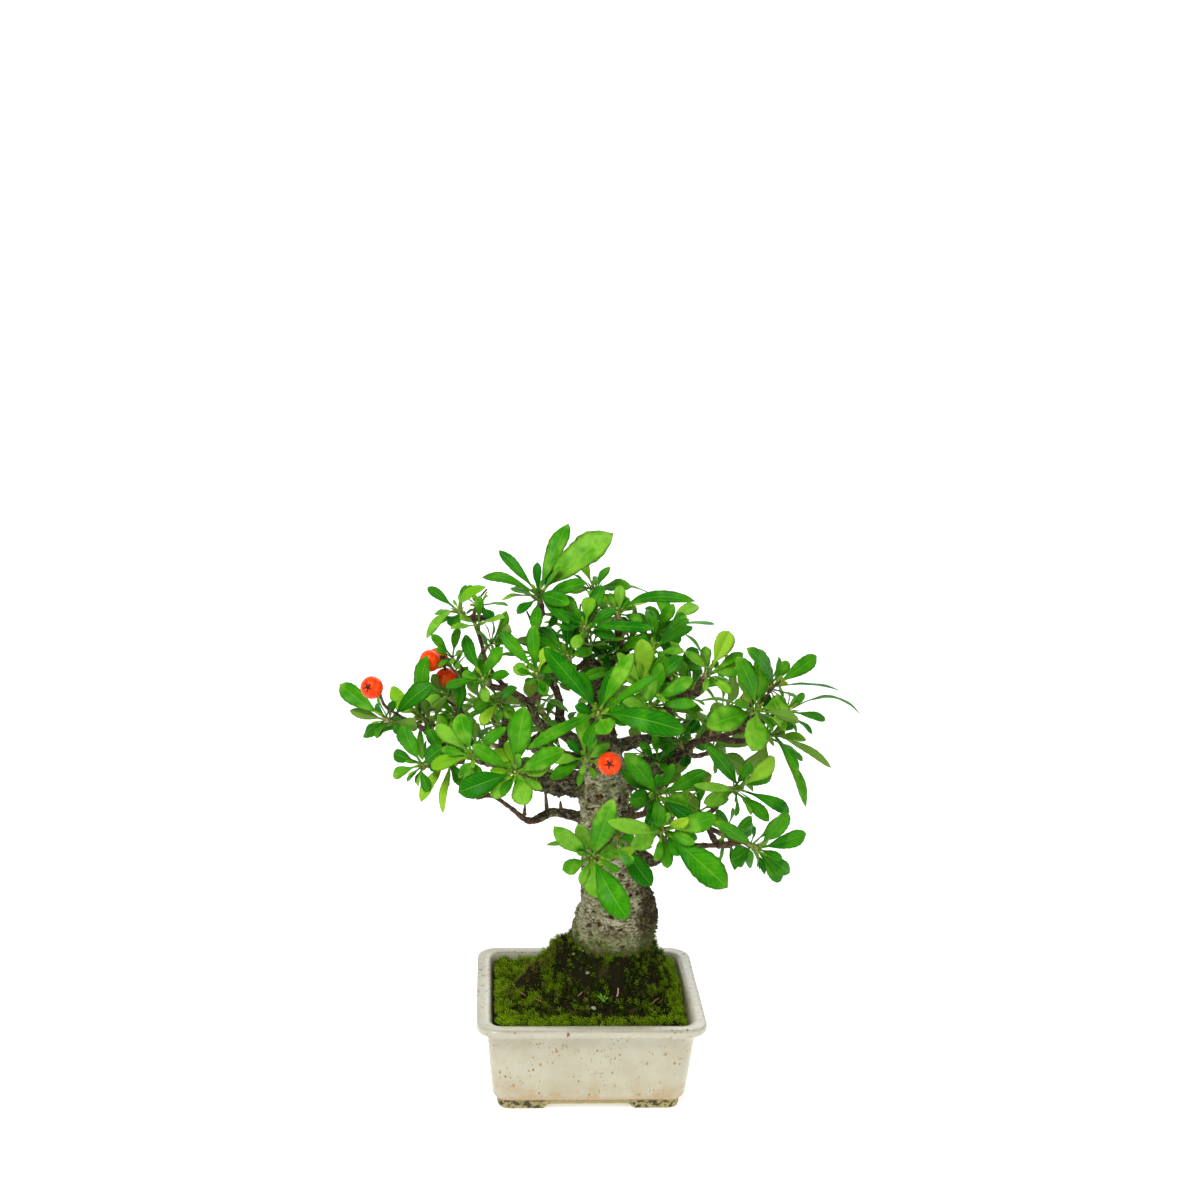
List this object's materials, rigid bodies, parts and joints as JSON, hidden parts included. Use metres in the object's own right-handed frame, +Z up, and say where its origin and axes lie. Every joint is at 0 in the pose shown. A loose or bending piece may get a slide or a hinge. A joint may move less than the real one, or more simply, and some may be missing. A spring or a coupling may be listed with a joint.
{
  "type": "narrowleaf firethorn bonsai",
  "caption": "Small evergreen bonsai with a thick scarred trunk, rosettes of narrow glossy leaves and orange berries, growing from a mossy mound in a low rectangular footed pot.",
  "frame": {"origin": "on the surface that the pot stands on, under the middle of the pot", "axes": "+Z up the trunk, +X along the pot's long side to the viewer's right, -Y towards the viewer of the picture"},
  "size_m": [0.193, 0.1399, 0.2176],
  "materials": {
    "glazed_pot": "satin",
    "drain_mesh": "matte",
    "soil": "matte",
    "moss": "matte",
    "bark": "matte",
    "leaves": "satin",
    "berries": "gloss"
  },
  "bodies": {
    "root": {"berry_cluster_left": "berries", "berry_cluster_low": "berries", "berry_cluster_right": "berries", "berry_far_left": "berries", "berry_front": "berries", "drain_mesh": "drain_mesh", "leaves_back_left_inner": "leaves", "leaves_back_left_low": "leaves", "leaves_back_left_outer": "leaves", "leaves_back_low": "leaves", "leaves_back_middle": "leaves", "leaves_back_right_inner": "leaves", "leaves_back_right_low": "leaves", "leaves_back_right_outer": "leaves", "leaves_back_top": "leaves", "leaves_back_top_left": "leaves", "leaves_crown": "leaves", "leaves_crown_right": "leaves", "leaves_far_left": "leaves", "leaves_far_right": "leaves", "leaves_front_low": "leaves", "leaves_front_low_right": "leaves", "leaves_front_star": "leaves", "leaves_left_behind": "leaves", "leaves_left_front": "leaves", "leaves_left_front_outer": "leaves", "leaves_left_hanging": "leaves", "leaves_left_inner_front": "leaves", "leaves_left_low": "leaves", "leaves_left_middle": "leaves", "leaves_left_upper": "leaves", "leaves_left_upright": "leaves", "leaves_middle_low": "leaves", "leaves_middle_right": "leaves", "leaves_middle_upright": "leaves", "leaves_right_hanging": "leaves", "leaves_right_heart": "leaves", "leaves_right_inner": "leaves", "leaves_right_low": "leaves", "leaves_right_low_front": "leaves", "leaves_right_low_inner": "leaves", "leaves_right_middle": "leaves", "leaves_right_middle_front": "leaves", "leaves_right_middle_top": "leaves", "leaves_right_shoulder": "leaves", "leaves_right_tip": "leaves", "leaves_right_upper": "leaves", "leaves_right_upright": "leaves", "leaves_top_front": "leaves", "leaves_top_left": "leaves", "leaves_top_left_inner": "leaves", "leaves_top_middle": "leaves", "leaves_top_right": "leaves", "leaves_upper_left": "leaves", "leaves_upper_middle": "leaves", "moss": "moss", "pot": "glazed_pot", "soil": "soil", "trunk_and_branches": "bark"}
  },
  "joints": []
}
